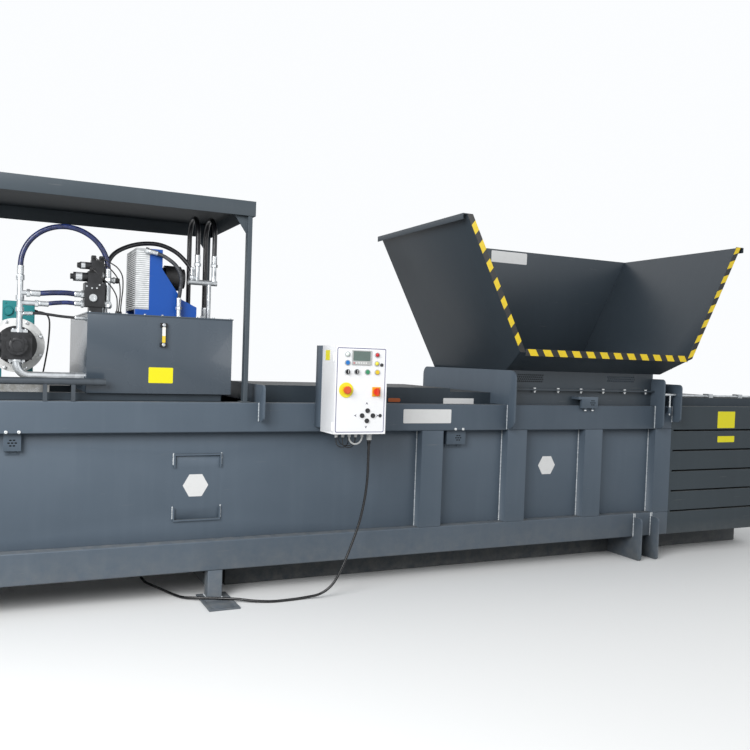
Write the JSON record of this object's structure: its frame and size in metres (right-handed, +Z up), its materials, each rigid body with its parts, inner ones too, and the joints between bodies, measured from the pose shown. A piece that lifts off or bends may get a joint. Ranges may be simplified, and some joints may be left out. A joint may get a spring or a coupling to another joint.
{
  "type": "recycling baler",
  "caption": "Horizontal channel baler with a side-loading top hopper, hydraulic ram, hinged bale door with tying slots, and a power pack under a canopy.",
  "frame": {"origin": "on the floor under the centre of the machine's bounding box", "axes": "+X along the channel towards the bale door, +Y away from the operator's side, +Z up"},
  "size_m": [7.743, 1.941, 2.735],
  "materials": {
    "frame_paint": "satin dark blue-grey paint",
    "sheet_paint": "satin dark blue-grey paint",
    "tank_paint": "glossy dark grey paint",
    "box_paint": "white powder coat",
    "zinc": "zinc plated",
    "bare_steel": "worn bright steel",
    "chrome_rod": "hard chrome",
    "cast_alloy": "cast",
    "cooler_alloy": "brazed fins",
    "blue_paint": "satin blue",
    "teal_paint": "satin teal",
    "black_metal": "black",
    "hose_rubber": "smooth black",
    "black_plastic": "moulded",
    "gear_plastic": "moulded",
    "blue_plastic": "moulded",
    "green_plastic": "moulded",
    "yellow_plastic": "moulded",
    "white_plastic": "moulded",
    "red_plastic": "moulded"
  },
  "bodies": {
    "base": {"base_frame": "frame_paint", "skids": "frame_paint", "floor_plate": "frame_paint", "side_beams": "frame_paint", "side_plates": "frame_paint", "cylinder_mount": "frame_paint", "transverse_plates": "frame_paint", "feet": "frame_paint", "chamber_walls": "frame_paint", "chamber_roof": "sheet_paint", "ram_roof": "sheet_paint", "neck_panels": "sheet_paint", "flange_bolts": "zinc", "hopper_left_wall": "sheet_paint", "hopper_right_wall": "sheet_paint", "hopper_back_wall": "sheet_paint", "hopper_front_wall": "sheet_paint", "canopy_roof": "sheet_paint", "canopy_posts": "sheet_paint", "pack_frame": "frame_paint", "drip_tray": "zinc", "oil_tank": "tank_paint", "tank_lid": "tank_paint", "level_gauge": "black_plastic", "valve_block": "black_metal", "pump_motor": "teal_paint", "bell_housing": "cast_alloy", "oil_pump": "black_metal", "steel_pipes": "zinc", "hydraulic_hoses": "hose_rubber", "cooler_core": "cooler_alloy", "cooler_shroud": "blue_paint", "cylinder_barrel": "frame_paint", "front_brackets": "frame_paint", "control_box": "box_paint", "control_gear": "gear_plastic", "cable_glands": "black_plastic", "power_cable": "hose_rubber"},
    "ram": {"ram": "bare_steel", "piston_rod": "chrome_rod"},
    "bale_door": {"bale_door": "frame_paint"},
    "door_wheel": {"door_wheel": "black_metal"},
    "box_door": {"box_door": "box_paint", "control_panel": "black_plastic"},
    "blue_button": {"blue_button": "blue_plastic"},
    "green_button": {"green_button": "green_plastic"},
    "yellow_button": {"yellow_button": "yellow_plastic"},
    "arrow_up": {"arrow_up": "white_plastic"},
    "arrow_left": {"arrow_left": "white_plastic"},
    "arrow_right": {"arrow_right": "white_plastic"},
    "arrow_down": {"arrow_down": "white_plastic"},
    "left_selector": {"left_selector": "black_plastic"},
    "right_selector": {"right_selector": "black_plastic"},
    "emergency_stop": {"emergency_stop": "red_plastic"},
    "isolator_knob": {"isolator_knob": "red_plastic"},
    "upper_lock": {"upper_lock": "zinc"},
    "lower_lock": {"lower_lock": "zinc"},
    "cooler_fan": {"cooler_fan": "black_plastic"},
    "clamp_screw": {"clamp_screw": "zinc"},
    "drive_coupling": {"drive_coupling": "bare_steel"}
  },
  "joints": [
    {"name": "ram_slide", "type": "slide", "parent": "base", "child": "ram", "axis": [1, 0, 0], "range_m": [0, 1.9]},
    {"name": "bale_door_hinge", "type": "hinge", "parent": "base", "child": "bale_door", "pos_m": [3.7215, 0.7655, 0.75], "axis": [0, 0, 1], "range_deg": [0, 110]},
    {"name": "door_wheel_spin", "type": "hinge", "parent": "bale_door", "child": "door_wheel", "pos_m": [3.7285, -0.5395, 0.76], "axis": [1, 0, 0], "continuous": true},
    {"name": "box_door_hinge", "type": "hinge", "parent": "base", "child": "box_door", "pos_m": [-0.8835, -0.9105, 1.4], "axis": [0, 0, -1], "range_deg": [0, 120]},
    {"name": "blue_button_press", "type": "slide", "parent": "box_door", "child": "blue_button", "axis": [0, 1, 0], "range_m": [0, 0.004], "stiffness_N_per_m": 300},
    {"name": "green_button_press", "type": "slide", "parent": "box_door", "child": "green_button", "axis": [0, 1, 0], "range_m": [0, 0.004], "stiffness_N_per_m": 300},
    {"name": "yellow_button_press", "type": "slide", "parent": "box_door", "child": "yellow_button", "axis": [0, 1, 0], "range_m": [0, 0.004], "stiffness_N_per_m": 300},
    {"name": "arrow_up_press", "type": "slide", "parent": "box_door", "child": "arrow_up", "axis": [0, 1, 0], "range_m": [0, 0.004], "stiffness_N_per_m": 300},
    {"name": "arrow_left_press", "type": "slide", "parent": "box_door", "child": "arrow_left", "axis": [0, 1, 0], "range_m": [0, 0.004], "stiffness_N_per_m": 300},
    {"name": "arrow_right_press", "type": "slide", "parent": "box_door", "child": "arrow_right", "axis": [0, 1, 0], "range_m": [0, 0.004], "stiffness_N_per_m": 300},
    {"name": "arrow_down_press", "type": "slide", "parent": "box_door", "child": "arrow_down", "axis": [0, 1, 0], "range_m": [0, 0.004], "stiffness_N_per_m": 300},
    {"name": "emergency_stop_press", "type": "slide", "parent": "box_door", "child": "emergency_stop", "axis": [0, 1, 0], "range_m": [0, 0.006], "stiffness_N_per_m": 500},
    {"name": "left_selector_turn", "type": "hinge", "parent": "box_door", "child": "left_selector", "pos_m": [-0.7915, -0.9305, 1.56], "axis": [0, 1, 0], "range_deg": [-45, 45]},
    {"name": "right_selector_turn", "type": "hinge", "parent": "box_door", "child": "right_selector", "pos_m": [-0.7245, -0.9305, 1.562], "axis": [0, 1, 0], "range_deg": [-45, 45]},
    {"name": "isolator_turn", "type": "hinge", "parent": "box_door", "child": "isolator_knob", "pos_m": [-0.5735, -0.9305, 1.429], "axis": [0, 1, 0], "range_deg": [0, 90]},
    {"name": "upper_lock_turn", "type": "hinge", "parent": "box_door", "child": "upper_lock", "pos_m": [-0.5375, -0.9305, 1.612], "axis": [0, -1, 0], "range_deg": [0, 90]},
    {"name": "lower_lock_turn", "type": "hinge", "parent": "box_door", "child": "lower_lock", "pos_m": [-0.5375, -0.9305, 1.266], "axis": [0, -1, 0], "range_deg": [0, 90]},
    {"name": "cooler_fan_spin", "type": "hinge", "parent": "base", "child": "cooler_fan", "pos_m": [-1.9595, -0.1545, 2.1675], "axis": [1, 0, 0], "continuous": true},
    {"name": "clamp_screw_turn", "type": "hinge", "parent": "base", "child": "clamp_screw", "pos_m": [2.4085, -0.6295, 1.3], "axis": [0, 0, 1], "continuous": true},
    {"name": "drive_coupling_spin", "type": "hinge", "parent": "base", "child": "drive_coupling", "pos_m": [-2.8065, -0.1995, 1.663], "axis": [0, 1, 0], "continuous": true}
  ]
}
